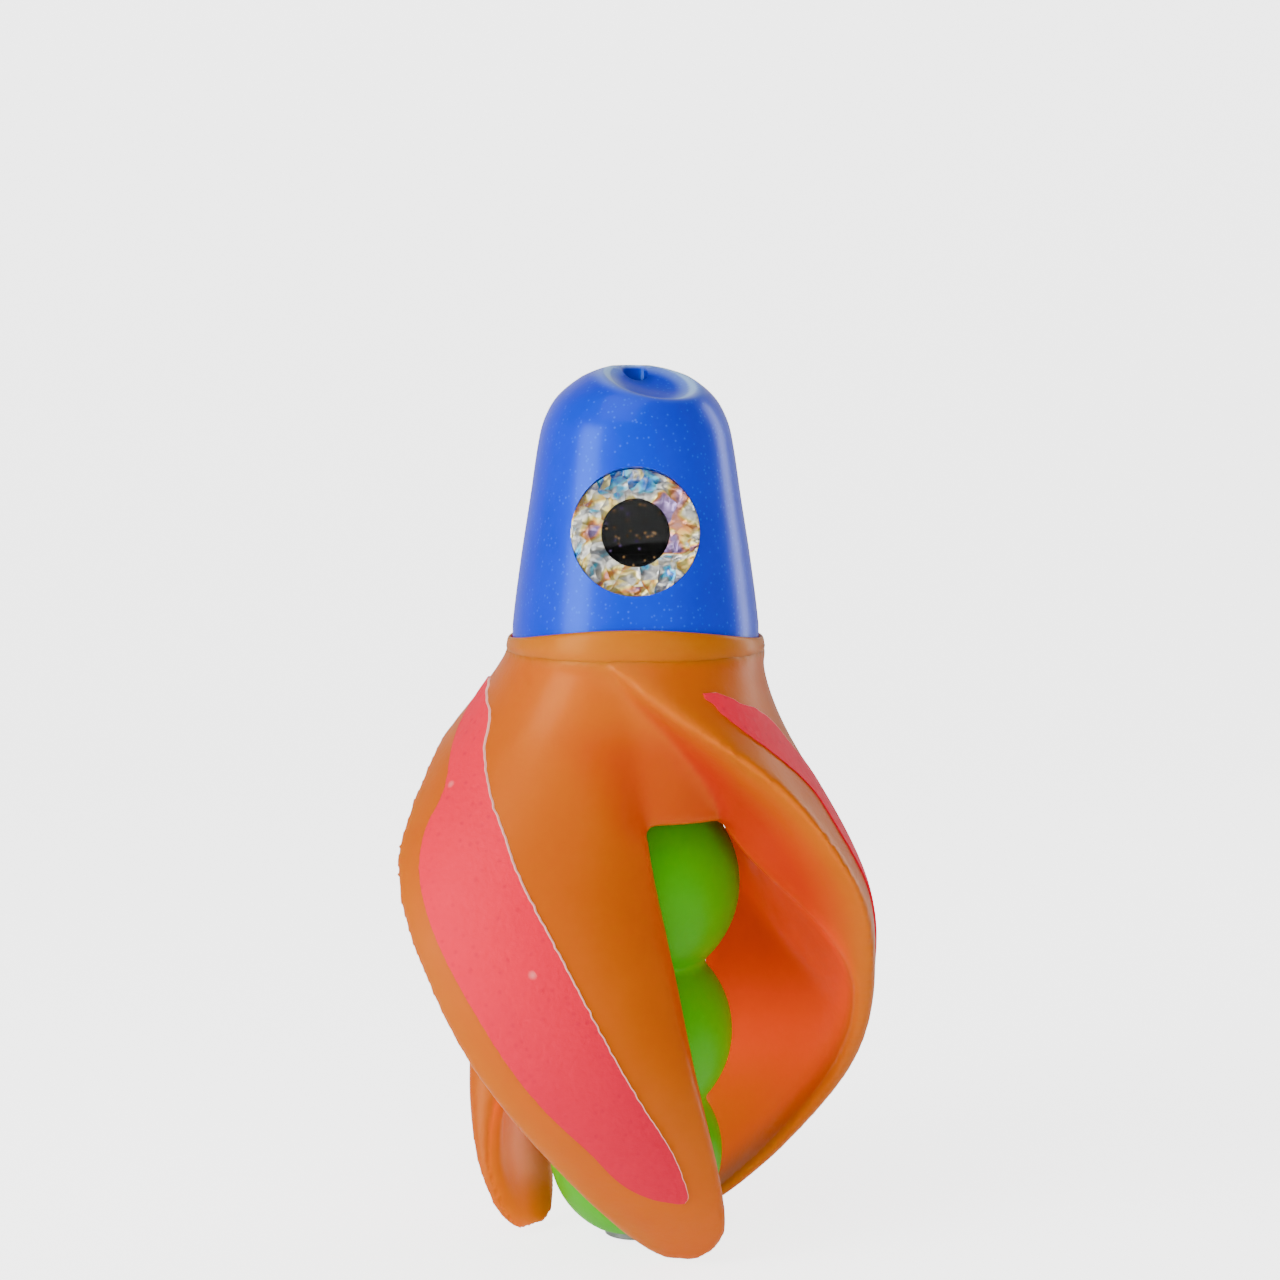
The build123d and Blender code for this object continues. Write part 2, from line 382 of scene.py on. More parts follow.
def make_drift() -> bpy.types.NodeTree:
    """Shared effect: two colours that drift into each other in soft clouds.

    Returns:
        The node group.
    """
    group, tree, given, made = effect(
        "drift", {"Vector": ("Vector", None), "Scale": ("Float", 120.0),
                  "First": ("Color", (1, 1, 1, 1)), "Second": ("Color", (0, 0, 0, 1))},
        {"Color": "Color"})
    cloud = tree.add("TexNoise", {"Vector": given["Vector"], "Scale": given["Scale"],
                                  "Detail": 3.0, "Roughness": 0.55})
    node = tree.blend(tree.maths("MULTIPLY", cloud.outputs["Fac"], 1.0), given["First"],
                      given["Second"])
    group.links.new(node, made["Color"])
    return group


def make_relief() -> bpy.types.NodeTree:
    """Shared effect: moulding ripples under a fine grain, as a normal.

    Returns:
        The node group.
    """
    group, tree, given, made = effect(
        "relief", {"Vector": ("Vector", None), "Ripple": ("Float", 90.0),
                   "Depth": ("Float", 0.1), "Grain": ("Float", 2500.0),
                   "Grain depth": ("Float", 0.03)}, {"Normal": "Vector"})
    swell = tree.add("TexNoise", {"Vector": given["Vector"], "Scale": given["Ripple"],
                                  "Detail": 2.0})
    grain = tree.add("TexNoise", {"Vector": given["Vector"], "Scale": given["Grain"]})
    low = tree.add("Bump", {"Strength": given["Depth"], "Distance": 0.002,
                            "Height": swell.outputs["Fac"]})
    fine = tree.add("Bump", {"Strength": given["Grain depth"], "Distance": 0.0003,
                             "Height": grain.outputs["Fac"], "Normal": low.outputs["Normal"]})
    group.links.new(fine.outputs["Normal"], made["Normal"])
    return group


def make_crinkle() -> bpy.types.NodeTree:
    """Shared effect: crumpled holographic foil, as a rainbow colour and a faceted normal.

    Returns:
        The node group.
    """
    group, tree, given, made = effect(
        "crinkle", {"Vector": ("Vector", None), "Scale": ("Float", 900.0)},
        {"Color": "Color", "Normal": "Vector"})
    bent = tree.add("TexNoise", {"Vector": given["Vector"], "Scale": 500.0, "Detail": 2.0})
    shift = tree.add("VectorMath", {0: bent.outputs["Color"], 1: (0.0016, 0.0016, 0.0016)},
                     operation="MULTIPLY")
    place = tree.add("VectorMath", {0: given["Vector"], 1: shift.outputs["Vector"]})
    cells = tree.add("TexVoronoi", {"Vector": place.outputs["Vector"], "Scale": given["Scale"],
                                    "Randomness": 1.0})
    cracks = tree.add("TexVoronoi", {"Vector": place.outputs["Vector"], "Scale": 620.0},
                      feature="DISTANCE_TO_EDGE")
    sheen = tree.add("TexNoise", {"Vector": place.outputs["Vector"], "Scale": 165.0,
                                  "Detail": 3.0, "Distortion": 1.3})
    hue = tree.maths("ADD", tree.maths("MULTIPLY", cells.outputs["Color"], 0.12),
                     tree.maths("MULTIPLY", sheen.outputs["Fac"], 0.9))
    rainbow = tree.ramp(hue, [
        (0.38, (0.4, 0.26, 0.6, 1)), (0.43, (1.0, 0.34, 0.06, 1)),
        (0.47, (1.0, 0.84, 0.2, 1)), (0.5, (1.0, 0.98, 0.85, 1)), (0.54, (0.42, 0.44, 0.46, 1)),
        (0.57, (0.06, 0.62, 0.86, 1)), (0.61, (0.0, 0.16, 0.7, 1)),
        (0.65, (1.0, 0.88, 0.35, 1))])
    dark = tree.maths("SUBTRACT", 1.0, tree.maths("MULTIPLY", cracks.outputs["Distance"], 22.0))
    rainbow = tree.blend(tree.maths("MULTIPLY", dark, 0.4), rainbow, (0.36, 0.33, 0.38, 1))
    group.links.new(rainbow, made["Color"])
    facets = tree.add("Bump", {"Strength": 0.75, "Distance": 0.0007,
                               "Height": cells.outputs["Distance"]})
    wrinkle = tree.add("Bump", {"Strength": 0.6, "Distance": 0.0006,
                                "Height": sheen.outputs["Fac"],
                                "Normal": facets.outputs["Normal"]})
    group.links.new(wrinkle.outputs["Normal"], made["Normal"])
    return group


class Effects:
    """The node groups that the finishes share, each made once."""

    def __init__(self) -> None:
        """Makes the four groups."""
        self.flecks = make_flecks()
        self.drift = make_drift()
        self.relief = make_relief()
        self.crinkle = make_crinkle()


def new_material(name: str) -> tuple[bpy.types.Material, Tree, bpy.types.Node,
                                     bpy.types.NodeSocket]:
    """Starts a material.

    Args:
        name: its name.

    Returns:
        (the material, a Tree in it, its Principled shader, the object coordinates).
    """
    material = bpy.data.materials.new(name)
    material.use_nodes = True
    tree = Tree(material.node_tree)
    shader = material.node_tree.nodes["Principled BSDF"]
    place = tree.add("TexCoord").outputs["Object"]
    return material, tree, shader, place


# ---------------------------------------------------------------- finishes

@dataclass(frozen=True)
class PearlPaint:
    """Glossy blue paint with fine pearl flecks, a painted highlight round the dish's rim and
    painted shade in the line hole.
    """

    base: tuple = (0.0, 0.012, 0.56, 1)
    cloud: tuple = (0.0, 0.026, 0.68, 1)
    pearl: tuple = (0.03, 0.2, 1.0, 1)
    # painted highlight: the pale ring where the dish's rim catches the light
    rim: tuple = (0.45, 0.72, 1.0, 1)
    shine: tuple = (0.03, 0.24, 0.9, 1)
    # painted shade: darker blue inside the line hole
    bore: tuple = (0.0, 0.015, 0.4, 1)

    def build(self, effects: Effects) -> bpy.types.Material:
        """Makes the material.

        Args:
            effects: the shared node groups.

        Returns:
            The material.
        """
        material, tree, shader, place = new_material("pearl_blue")
        base = tree.shared(effects.drift, {"Vector": place, "Scale": 260.0,
                                           "First": self.base, "Second": self.cloud})
        fleck = tree.shared(effects.flecks, {"Vector": place, "Scale": 3000.0, "Share": 0.4})
        flecked = tree.blend(tree.maths("MULTIPLY", fleck.outputs["Mask"], 0.5),
                             base.outputs["Color"], self.pearl)
        # painted highlight round the dish's rim
        highlighted = tree.blend(tree.maths("MULTIPLY", tree.attribute("rim"), 0.8), flecked, self.rim)
        relief = tree.shared(effects.relief, {"Vector": place, "Ripple": 160.0,
                                              "Depth": 0.05, "Grain depth": 0.03})
        # painted shade inside the line hole
        tree.give(shader, {"Base Color": tree.blend(tree.attribute("bore"), highlighted, self.bore),
                           "Normal": relief.outputs["Normal"], "Roughness": 0.3,
                           "Specular IOR Level": 1.0, "Specular Tint": self.shine,
                           "Coat Weight": 0.12, "Coat Roughness": 0.15})
        return material


@dataclass(frozen=True)
class SoftPlastic:
    """Translucent soft plastic with painted light and shade: a deeper colour on its inner faces and
    in the valleys, a paler painted highlight on the lip and free edges, and a painted glow.
    """

    name: str
    outer: tuple
    cloud: tuple
    # painted light and shade: the deeper red on the faces inside the cage
    inner: tuple
    # painted shade: the deeper red in the valleys between the petals
    web: tuple
    # painted highlight: the paler colour on the lip, the free edges and the low inner faces; the
    # pale pits use it too
    lip: tuple
    shine: tuple
    glow: tuple
    scatter: float = 0.35
    roughness: float = 0.38
    ripple: float = 0.12

    def build(self, effects: Effects) -> bpy.types.Material:
        """Makes the material.

        Args:
            effects: the shared node groups.

        Returns:
            The material.
        """
        material, tree, shader, place = new_material(self.name)
        base = tree.shared(effects.drift, {"Vector": place, "Scale": 90.0,
                                           "First": self.outer, "Second": self.cloud})
        # painted light and shade: a deeper red on the faces inside the cage
        deep = tree.blend(tree.attribute("inner"), base.outputs["Color"], self.inner)
        # painted shade in the valleys, then the painted highlight on the lip, the free edges and
        # the low inner faces
        shaded_and_lit = tree.blend(tree.attribute("lip"), tree.blend(tree.attribute("web"), deep, self.web),
                           self.lip)
        pits = tree.shared(effects.flecks, {"Vector": place, "Scale": 620.0, "Share": 0.05})
        relief = tree.shared(effects.relief, {"Vector": place, "Ripple": 110.0,
                                              "Depth": self.ripple, "Grain depth": 0.05})
        tree.give(shader, {
            "Base Color": tree.blend(tree.maths("MULTIPLY", pits.outputs["Mask"], 0.35), shaded_and_lit,
                                     self.lip),
            "Normal": relief.outputs["Normal"], "Roughness": self.roughness,
            "Emission Color": tree.blend(tree.attribute("glow"), (0, 0, 0, 1), self.glow),
            "Emission Strength": 1.0, "Subsurface Weight": self.scatter,
            "Subsurface Radius": (1.0, 0.35, 0.08), "Subsurface Scale": 0.0016,
            "Specular IOR Level": 0.45, "Specular Tint": self.shine,
            "Coat Weight": 0.05, "Coat Roughness": 0.2})
        return material


@dataclass(frozen=True)
class TapePrint:
    """Matte pink tape with fine specks, a pale cut edge and painted shade towards its lower end."""

    base: tuple = (0.84, 0.0, 0.035, 1)
    cloud: tuple = (0.74, 0.0, 0.032, 1)
    # the dark specks' colour, also the painted shade's colour on the strip's lower part
    speck_and_shade: tuple = (0.45, 0.0, 0.03, 1)
    cut: tuple = (0.95, 0.5, 0.42, 1)
    shine: tuple = (1.0, 0.25, 0.3, 1)

    def build(self, effects: Effects) -> bpy.types.Material:
        """Makes the material.

        Args:
            effects: the shared node groups.

        Returns:
            The material.
        """
        material, tree, shader, place = new_material("pink_tape")
        base = tree.shared(effects.drift, {"Vector": place, "Scale": 200.0,
                                           "First": self.base, "Second": self.cloud})
        dark = tree.shared(effects.flecks, {"Vector": place, "Scale": 1500.0, "Share": 0.4})
        pale = tree.shared(effects.flecks, {"Vector": place, "Scale": 900.0, "Share": 0.06})
        specked = tree.blend(tree.maths("MULTIPLY", dark.outputs["Mask"], 0.4),
                             base.outputs["Color"], self.speck_and_shade)
        dusted = tree.blend(tree.maths("MULTIPLY", pale.outputs["Mask"], 0.5), specked, self.cut)
        # painted shade: darker towards the lower end, where less light falls
        shaded = tree.blend(tree.attribute("low"), dusted, self.speck_and_shade)
        relief = tree.shared(effects.relief, {"Vector": place, "Ripple": 300.0, "Depth": 0.05,
                                              "Grain": 1800.0, "Grain depth": 0.2})
        tree.give(shader, {"Base Color": tree.blend(tree.attribute("cut"), shaded, self.cut),
                           "Normal": relief.outputs["Normal"], "Roughness": 0.55,
                           "Specular IOR Level": 0.4, "Specular Tint": self.shine,
                           "Subsurface Weight": 0.1, "Subsurface Radius": (1.0, 0.4, 0.3),
                           "Subsurface Scale": 0.0006})
        return material


@dataclass(frozen=True)
class Foil:
    """Crumpled holographic foil."""

    def build(self, effects: Effects) -> bpy.types.Material:
        """Makes the material.

        Args:
            effects: the shared node groups.

        Returns:
            The material.
        """
        material, tree, shader, place = new_material("holographic_foil")
        foil = tree.shared(effects.crinkle, {"Vector": place, "Scale": 780.0})
        tree.give(shader, {"Base Color": foil.outputs["Color"], "Normal": foil.outputs["Normal"],
                           "Metallic": 0.55, "Roughness": 0.24})
        return material


@dataclass(frozen=True)
class GlitterBlack:
    """Black print with tiny warm and cool glitter."""

    base: tuple = (0.0006, 0.0005, 0.0005, 1)
    warm: tuple = srgb(196, 150, 92)
    cool: tuple = srgb(120, 96, 150)

    def build(self, effects: Effects) -> bpy.types.Material:
        """Makes the material.

        Args:
            effects: the shared node groups.

        Returns:
            The material.
        """
        material, tree, shader, place = new_material("glitter_black")
        warm = tree.shared(effects.flecks, {"Vector": place, "Scale": 3100.0, "Share": 0.3})
        cool = tree.shared(effects.flecks, {"Vector": place, "Scale": 2500.0, "Share": 0.25})
        lit = tree.blend(tree.maths("MULTIPLY", warm.outputs["Mask"], 1.0), self.base, self.warm)
        both = tree.blend(tree.maths("MULTIPLY", cool.outputs["Mask"], 0.9), lit, self.cool)
        tree.give(shader, {"Base Color": both, "Roughness": 0.4, "Specular IOR Level": 0.05})
        return material


@dataclass(frozen=True)
class ClearDome:
    """Clear cast resin."""

    def build(self, effects: Effects) -> bpy.types.Material:
        """Makes the material.

        Args:
            effects: the shared node groups; not used.

        Returns:
            The material.
        """
        material, tree, shader, _ = new_material("clear_dome")
        tree.give(shader, {"Transmission Weight": 1.0, "Roughness": 0.03, "IOR": 1.2,
                           "Specular IOR Level": 0.3})
        return material


@dataclass(frozen=True)
class Plain:
    """A metal or hard plastic with slight clouding and grain."""

    name: str
    base: tuple
    cloud: tuple
    metallic: float
    roughness: float

    def build(self, effects: Effects) -> bpy.types.Material:
        """Makes the material.

        Args:
            effects: the shared node groups.

        Returns:
            The material.
        """
        material, tree, shader, place = new_material(self.name)
        base = tree.shared(effects.drift, {"Vector": place, "Scale": 400.0,
                                           "First": self.base, "Second": self.cloud})
        relief = tree.shared(effects.relief, {"Vector": place, "Ripple": 500.0,
                                              "Depth": 0.04, "Grain depth": 0.08})
        tree.give(shader, {"Base Color": base.outputs["Color"],
                           "Normal": relief.outputs["Normal"],
                           "Metallic": self.metallic, "Roughness": self.roughness})
        return material


class Finish(Enum):
    """Every finish on the lure."""

    PEARL = PearlPaint()
    # inner and web: painted light and shade in deeper reds; lip: the painted highlight's paler
    # colour; glow: painted glow
    SKIRT = SoftPlastic("orange_soft_plastic", outer=(0.46, 0.08, 0.0, 1),
                        cloud=(0.54, 0.105, 0.0, 1), inner=(1.0, 0.055, 0.0, 1),
                        web=(0.44, 0.017, 0.0, 1), lip=(0.46, 0.13, 0.0, 1),
                        shine=(1.0, 0.5, 0.12, 1), glow=(0.5, 0.04, 0.0, 1))
    CORE = SoftPlastic("green_soft_plastic", outer=(0.045, 0.34, 0.0, 1),
                       cloud=(0.055, 0.4, 0.0, 1), inner=(0.03, 0.25, 0.0, 1),
                       web=(0.03, 0.25, 0.0, 1), lip=(0.1, 0.5, 0.0, 1),
                       shine=(0.5, 1.0, 0.2, 1), glow=(0.01, 0.08, 0.0, 1), scatter=0.2,
                       roughness=0.42, ripple=0.06)
    TAPE = TapePrint()
    FOIL = Foil()
    PUPIL = GlitterBlack()
    DOME = ClearDome()
    STEEL = Plain("steel", srgb(176, 178, 182), srgb(150, 152, 158), 1.0, 0.3)
    BRASS = Plain("brass", srgb(212, 170, 92), srgb(188, 146, 74), 1.0, 0.35)
    ACETAL = Plain("acetal", srgb(232, 230, 220), srgb(222, 219, 208), 0.0, 0.45)


class Finishes:
    """Makes each finish once and hands it out."""

    def __init__(self) -> None:
        """Makes every finish."""
        effects = Effects()
        self.made = {finish: finish.value.build(effects) for finish in Finish}

    def __getitem__(self, finish: Finish) -> bpy.types.Material:
        """Returns a finish's material."""
        return self.made[finish]


# ---------------------------------------------------------------- head

class Side(Enum):
    """Which side of the head an eye is on."""

    FRONT = -1
    BACK = 1


@dataclass
class HeadShell:
    """Tapered blue head with a rounded shoulder, a slanted dish in the nose and two eye seats."""

    outline: list = field(default_factory=lambda: [
        (1.9, 70.22), (2.9, 69.95), (4.3, 69.33), (6.1, 67.9), (7.1, 66.3), (7.62, 64.6),
        (8.38, 59.7), (9.15, 54.8), (9.78, 49.9), (9.8, 48.4)])
    foot_r: float = 9.7
    foot_z: float = 48.3
    cavity_r: float = 5.2
    cavity_z: float = 66.3
    hole_r: float = 1.05
    hole_top: tuple[float, float] = (69.9, 70.25)
    hole_flare: float = 0.15
    dish_centre: Vector = field(default_factory=lambda: Vector((1.15, -1.75, 69.15)))
    dish_tilt: tuple[float, float] = (23.0, 12.0)
    dish_r: float = 3.45
    dish_depth: float = 0.85
    dish_margin: float = 1.5
    crown_z: float = 62.0
    rim_round: float = 0.4
    # the painted highlight round the dish's rim: its depth, its sharp line, its soft halo and the
    # halo's strength
    rim_highlight_depth: float = 1.2
    rim_highlight_line: tuple[float, float] = (0.15, 0.5)
    rim_highlight_halo: tuple[float, float] = (0.3, 1.5)
    highlight_halo_share: float = 0.4
    seat_y: float = 6.95
    seat_z: float = 57.4
    seat_r: float = 5.0
    seat_lean: float = 8.5
    seat_clear: float = 6.0

    def dish_frame(self) -> Matrix:
        """Returns the dish's own axes, with +Z out of the nose."""
        front, side = (math.radians(a) for a in self.dish_tilt)
        return (Matrix.Translation(self.dish_centre) @ Matrix.Rotation(front, 4, "X")
                @ Matrix.Rotation(side, 4, "Y"))

    def seat_frame(self, side: Side) -> Matrix:
        """Returns an eye seat's axes, in metres, with +Z out of the head."""
        sign = side.value
        return (Matrix.Translation((0, sign * self.seat_y * MM, self.seat_z * MM))
                @ Matrix.Rotation(math.radians(-sign * (90 - self.seat_lean)), 4, "X"))

    def press_dish(self, mesh: bmesh.types.BMesh) -> None:
        """Presses the shallow dish into the crown's vertices.

        Args:
            mesh: the head's mesh, still whole.
        """
        frame = self.dish_frame()
        back = frame.inverted()
        ball = (self.dish_r**2 + self.dish_depth**2) / (2 * self.dish_depth)
        for vert in mesh.verts:
            local = back @ (vert.co / MM)
            reach = self.dish_r + self.dish_margin
            if vert.co.z / MM < self.crown_z or local.xy.length > reach:
                continue
            floor = ball - self.dish_depth - math.sqrt(max(ball**2 - local.xy.length_squared, 0))
            local.z = smooth_min(local.z, floor, self.rim_round)
            vert.co = frame @ local * MM

    def rim_highlight_mask(self, place: Vector) -> float:
        """Tells how strong the painted highlight is near the dish's rim.

        Args:
            place: a point on the head, in millimetres.

        Returns:
            A share from 0 to 1.
        """
        local = self.dish_frame().inverted() @ place
        if abs(local.z) > self.rim_highlight_depth:
            return 0.0
        gap = abs(local.xy.length - self.dish_r)
        return max(1 - smoothstep(*self.rim_highlight_line, gap),
                   self.highlight_halo_share * (1 - smoothstep(*self.rim_highlight_halo, gap)))

    def build(self, finishes: Finishes) -> None:
        """Builds the shell and puts it in the CAD node's place.

        Args:
            finishes: the materials.
        """
        mesh = bmesh.new()
        bore = [(self.cavity_r, self.cavity_z), (self.hole_r, self.cavity_z),
                (self.hole_r, self.hole_top[0]),
                (self.hole_r + self.hole_flare, self.hole_top[1])]
        foot = [(self.foot_r, self.foot_z), (self.cavity_r, self.foot_z)]
        outline = bore + rounded(self.outline, 12) + foot + bore[:1]
        spun(mesh, outline, 220)
        self.press_dish(mesh)
        piece = make_object("head_shell_painted", mesh, finishes[Finish.PEARL])
        for side in Side:
            cutter = bmesh.new()
            lift = Matrix.Translation((0, 0, self.seat_clear / 2 * MM))
            bmesh.ops.create_cone(cutter, cap_ends=True, segments=96, radius1=self.seat_r * MM,
                                  radius2=self.seat_r * MM, depth=self.seat_clear * MM,
                                  matrix=self.seat_frame(side) @ lift)
            tool = make_object("seat_cutter", cutter, finishes[Finish.PEARL])
            cut = piece.modifiers.new("seat", "BOOLEAN")
            cut.object, cut.operation, cut.solver = tool, "DIFFERENCE", "EXACT"
            settled(piece)
            bpy.data.objects.remove(tool)
        piece.data.set_sharp_from_angle(angle=SHARP)
        # painted highlight round the dish's rim
        paint(piece, "rim", lambda place, _: self.rim_highlight_mask(place))
        # painted shade inside the line hole
        paint(piece, "bore", lambda place, _: float(place.xy.length < self.hole_r + 0.02))
        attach(piece, "head")
        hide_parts("head_shell")


@dataclass
class Eye:
    """One stick-on eye: crumpled foil, a glittering pupil and a clear dome."""

    side: Side
    head: HeadShell
    foil_t: float = 0.3
    pupil_r: float = 2.6
    dome_edge: float = 0.35
    dome_rise: float = 1.1
    fit: float = 0.02
    film: float = 0.01
    round: float = 0.1
    print_t: float = 0.12
    dome_seat: float = 0.15
    dome_steps: int = 24

    def disc(self, name: str, outline: list[tuple[float, float]],
             material: bpy.types.Material) -> bpy.types.Object:
        """Spins an outline about the seat's own axis and stands it on the seat.

        Args:
            name: the piece's name.
            outline: (radius, height over the seat) points in millimetres.
            material: its material.

        Returns:
            The piece.
        """
        mesh = bmesh.new()
        spun(mesh, outline, 96)
        bmesh.ops.transform(mesh, matrix=self.head.seat_frame(self.side), verts=mesh.verts)
        return make_object(name, mesh, material)

    def build(self, finishes: Finishes) -> None:
        """Builds the three pieces in the CAD nodes' places.

        Args:
            finishes: the materials.
        """
        tag = self.side.name.lower()
        rim = self.head.seat_r - self.fit
        top = self.foil_t
        foil = [(0, top), (rim - self.round, top), (rim, top - self.round), (rim, self.fit),
                (0, self.fit)]
        low, high = top + self.film, top + self.film + self.print_t
        pupil = [(0, high), (self.pupil_r - self.round, high), (self.pupil_r, high - self.round),
                 (self.pupil_r, low), (0, low)]
        ball = (rim**2 + self.dome_rise**2) / (2 * self.dome_rise)
        base = top + self.dome_seat
        dome = [(0, base)]
        dome += [(rim * k / 8, base) for k in range(1, 9)]
        for step in range(1, self.dome_steps + 1):
            radius = rim * (1 - step / self.dome_steps)
            dome.append((radius, top + self.dome_edge + self.dome_rise - ball
                         + math.sqrt(ball**2 - radius**2)))
        made = {"foil": self.disc(f"foil_disc_{tag}", foil, finishes[Finish.FOIL]),
                "pupil": self.disc(f"pupil_disc_{tag}", pupil, finishes[Finish.PUPIL]),
                "dome": self.disc(f"dome_{tag}", dome, finishes[Finish.DOME])}
        for kind, piece in made.items():
            piece.data.set_sharp_from_angle(angle=SHARP)
            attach(piece, "head")
            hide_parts(f"eye_{kind}_{tag}")


# ---------------------------------------------------------------- skirt and tape

@dataclass
class PetalShape:
    """The outer face of one petal, between its inner edge and its outer, free edge."""

    outer_edge: list = field(default_factory=lambda: [
        (48.0, -14.0, 10.1), (39.6, 36.0, 16.2), (31.4, 54.0, 20.4), (23.0, 68.0, 20.1),
        (14.7, 82.5, 17.7), (6.4, 100.5, 12.3), (0.0, 128.5, 7.5)])
    inner_edge: list = field(default_factory=lambda: [
        (48.0, 106.0, 9.9), (39.6, 114.5, 10.1), (31.4, 122.0, 10.9), (23.0, 132.5, 12.2),
        (14.7, 140.5, 13.6), (6.4, 151.0, 13.0), (0.0, 161.5, 10.6)])
    swell: float = 1.2
    wall: float = 1.6
    fill_r: float = 8.6
    fill_low: float = 17.0
    fill_high: float = 35.5
    hook: float = 6.5
    inner_fill: float = 0.92
    ramp_turn: float = 13.0
    tip_round: float = 3.4
    tip_low: float = 0.02
    tip_width: float = 0.12
    low_core_r: float = 7.7
    core_steps: tuple = ((10.0, 14.0, 0.35), (24.5, 27.0, 0.65))
    hug_band: tuple[float, float] = (2.0, 20.0)
    ramp_band: tuple[float, float] = (33.0, 41.0)
    edge_bulge: float = 0.35
    across: int = 30
    round_steps: int = 13

    def turn_radius(self, height: float, share: float) -> tuple[float, float]:
        """Reads where the outer face is.

        Args:
            height: the level in millimetres.
            share: 0 at the inner edge and 1 at the free edge.

        Returns:
            (turn in degrees, radius in millimetres).
        """
        outer_turn, outer_r = curve_at(self.outer_edge, height)
        inner_turn, inner_r = curve_at(self.inner_edge, height)
        rise = 1 - (1 - min(max(share, 0.0), 1.0)) ** self.swell
        return mix(inner_turn, outer_turn, share), mix(inner_r, outer_r, rise)

    def point(self, height: float, share: float, offset: float = 0.0) -> Vector:
        """Returns a point on the outer face, or offset outwards from it."""
        turn, radius = self.turn_radius(height, share)
        return polar(radius + offset, turn, height)

    def ring(self, height: float, narrow: float) -> list[Vector]:
        """Returns the petal's closed outline at one height.

        Args:
            height: the level in millimetres.
            narrow: the share of the width that is left, below 1 in the rounded tip.

        Returns:
            The points, starting at the inner edge and running along the outer face.
        """
        wall = self.wall * (0.3 + 0.7 * narrow)
        fill = smoothstep(self.fill_low, self.fill_high, height)
        hug = self.inner_fill * smoothstep(*self.hug_band, height) * narrow
        core_r = mix(self.low_core_r, self.fill_r, sum(
            smoothstep(low, high, height) * share for low, high, share in self.core_steps))
        steps = self.across
        shares = [0.5 + (k / steps - 0.5) * narrow for k in range(steps + 1)]
        points = [self.point(height, share) for share in shares]
        edge_turn, edge_r = self.turn_radius(height, shares[-1])
        foot_r = mix(edge_r - wall, core_r, fill**2)
        ramp = -self.ramp_turn * smoothstep(*self.ramp_band, height)
        for k in range(1, self.round_steps):
            part = k / self.round_steps
            bulge = math.sin(part * math.pi) * wall * self.edge_bulge * (1 - fill)
            radius = foot_r + (edge_r - foot_r) * (1 - part) ** mix(1.0, 1.8, fill)
            turn = edge_turn + ramp * part - math.degrees(bulge / max(edge_r, 1))
            points.append(polar(radius, turn, height))
        for k in range(steps + 1):
            turn, radius = self.turn_radius(height, shares[-1 - k])
            turn += ramp * (1 - k / steps) + self.hook * hug * (k / steps) ** 3
            full = max(fill * mix(fill, 1.0, smoothstep(0.0, 0.45, k / steps)),
                       hug * (k / steps) ** 2.5)
            points.append(polar(mix(radius - wall, core_r, full), turn, height))
        start_turn, start_r = self.turn_radius(height, shares[0])
        back_r = mix(start_r - wall, core_r, max(fill, hug))
        for part in (0.25, 0.5, 0.75):
            bulge = math.degrees(math.sin(part * math.pi) * wall * self.edge_bulge / start_r)
            turn = start_turn + bulge + self.hook * hug * (1 - part)
            points.append(polar(mix(back_r, start_r, part), turn, height))
        return points

    def rings(self, levels: int) -> list[list[Vector]]:
        """Lists the petal's outlines from inside the collar down to the tip.

        Args:
            levels: how many lie above the rounded tip.

        Returns:
            The outlines.
        """
        top = self.outer_edge[0][0]
        made = [self.ring(mix(top, self.tip_round, k / levels), 1.0) for k in range(levels)]
        for k in range(1, self.round_steps):
            lean = math.radians(90 * k / self.round_steps)
            height = self.tip_round * (1 - math.sin(lean)) + self.tip_low
            made.append(self.ring(height, max(math.cos(lean), self.tip_width)))
        return made


